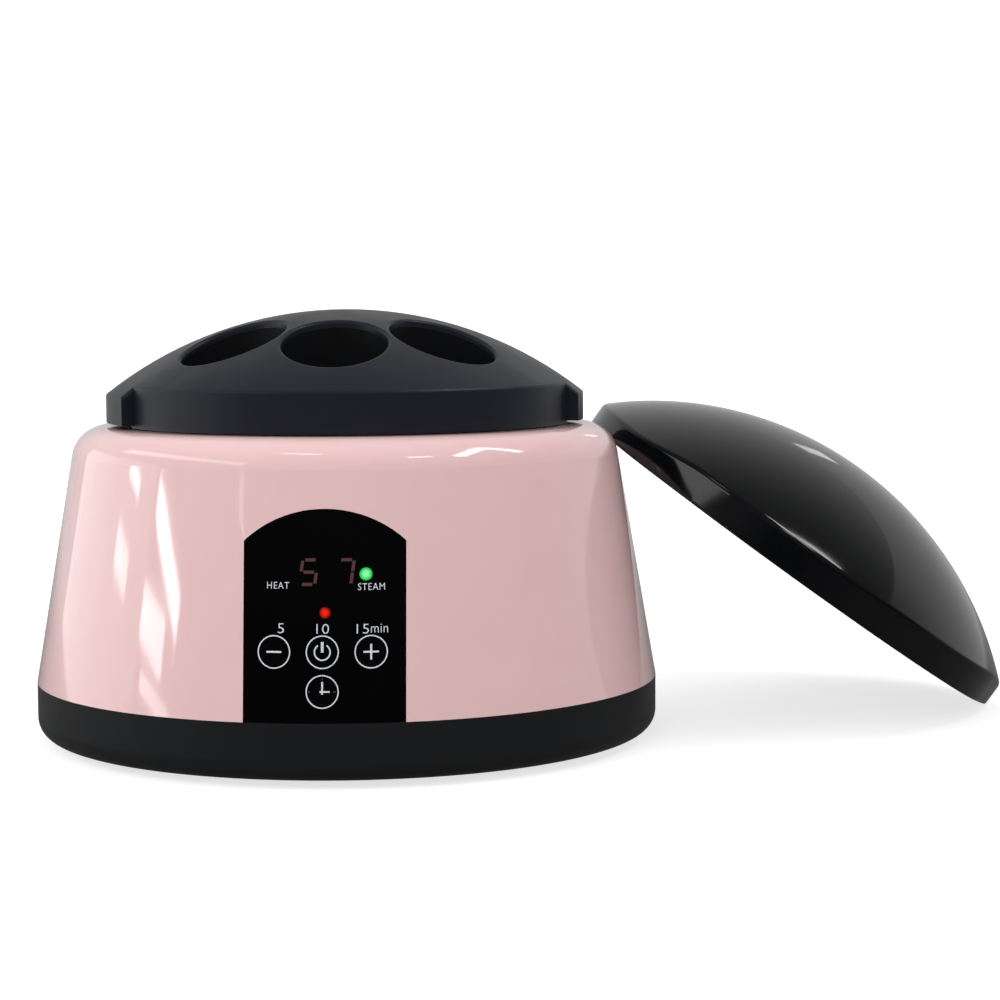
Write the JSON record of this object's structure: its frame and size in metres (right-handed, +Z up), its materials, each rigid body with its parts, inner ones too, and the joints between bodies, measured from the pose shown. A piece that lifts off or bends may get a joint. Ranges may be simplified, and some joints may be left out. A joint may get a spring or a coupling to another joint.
{
  "type": "nail polish steam remover",
  "caption": "Round tapered steam machine for taking off gel nail polish, with a finger cover over a heated basin, a control panel and a leaning domed lid.",
  "frame": {"origin": "on the axis of the round body, in the plane of the table under its feet", "axes": "+Z up along the body's axis, -Y out of the control panel, +X towards the leaning lid"},
  "size_m": [0.352, 0.2545, 0.1514],
  "materials": {
    "housing_pink": "glossy injection-moulded plastic, pale pink",
    "base_black": "semi-gloss moulded plastic, black",
    "rubber_black": "matte moulded rubber",
    "screw_steel": "zinc-plated steel",
    "lens_black": "polished smoked plastic, near black",
    "key_black": "glossy moulded plastic with a white printed sign",
    "component_black": "moulded epoxy",
    "component_grey": "moulded plastic",
    "component_white": "moulded nylon",
    "component_yellow": "taped winding",
    "component_green": "moulded nylon",
    "board_green": "solder mask on glass epoxy",
    "led_green": "lit, clear epoxy",
    "led_red": "lit, clear epoxy",
    "led_clear": "unlit, clear epoxy",
    "lead_grey": "insulated wire",
    "basin_steel": "drawn stainless steel, satin",
    "heater_aluminium": "cast and turned aluminium",
    "pin_brass": "turned brass",
    "cover_black": "moulded plastic, fine satin texture",
    "lid_black": "high-gloss moulded plastic, black"
  },
  "bodies": {
    "machine": {"housing_shell": "housing_pink", "base_pan": "base_black", "rubber_feet": "rubber_black", "base_screws": "screw_steel", "panel_lens": "lens_black", "tact_switches": "component_black", "display_board": "board_green", "display_board_screws": "screw_steel", "left_digit_display": "component_grey", "right_digit_display": "component_grey", "steam_led": "led_green", "ten_minute_led": "led_red", "idle_leds": "led_clear", "display_plug": "component_white", "display_ribbon": "lead_grey", "ribbon_header": "component_white", "water_basin": "basin_steel", "basin_seal": "rubber_black", "heater_plate": "heater_aluminium", "heater_ring": "basin_steel", "heater_strap": "screw_steel", "heater_screws": "screw_steel", "thermostat": "heater_aluminium", "thermal_fuse": "component_white", "power_board": "board_green", "power_board_screws": "screw_steel", "relay": "component_black", "smoothing_capacitor": "component_black", "transformer": "component_yellow", "terminal_block": "component_green", "mains_inlet": "base_black", "inlet_pins": "pin_brass", "mains_leads": "lead_grey", "heater_leads": "lead_grey"},
    "minus_key_body": {"minus_key": "key_black"},
    "power_key_body": {"power_key": "key_black"},
    "plus_key_body": {"plus_key": "key_black"},
    "timer_key_body": {"timer_key": "key_black"},
    "cover_body": {"finger_cover": "cover_black", "finger_sleeves": "cover_black"},
    "lid_body": {"lid": "lid_black"}
  },
  "joints": [
    {"name": "cover_lift", "type": "slide", "parent": "machine", "child": "cover_body", "axis": [0, 0, 1], "range_m": [0, 0.12]},
    {"name": "lid_lift", "type": "slide", "parent": "machine", "child": "lid_body", "axis": [0, 0, 1], "range_m": [0, 0.15]},
    {"name": "minus_key_press", "type": "slide", "parent": "machine", "child": "minus_key_body", "axis": [0, 0.986, -0.1668], "range_m": [0, 0.0005], "stiffness_N_per_m": 1500},
    {"name": "power_key_press", "type": "slide", "parent": "machine", "child": "power_key_body", "axis": [0, 0.986, -0.1668], "range_m": [0, 0.0005], "stiffness_N_per_m": 1500},
    {"name": "plus_key_press", "type": "slide", "parent": "machine", "child": "plus_key_body", "axis": [0, 0.986, -0.1668], "range_m": [0, 0.0005], "stiffness_N_per_m": 1500},
    {"name": "timer_key_press", "type": "slide", "parent": "machine", "child": "timer_key_body", "axis": [0, 0.986, -0.1668], "range_m": [0, 0.0005], "stiffness_N_per_m": 1500}
  ]
}
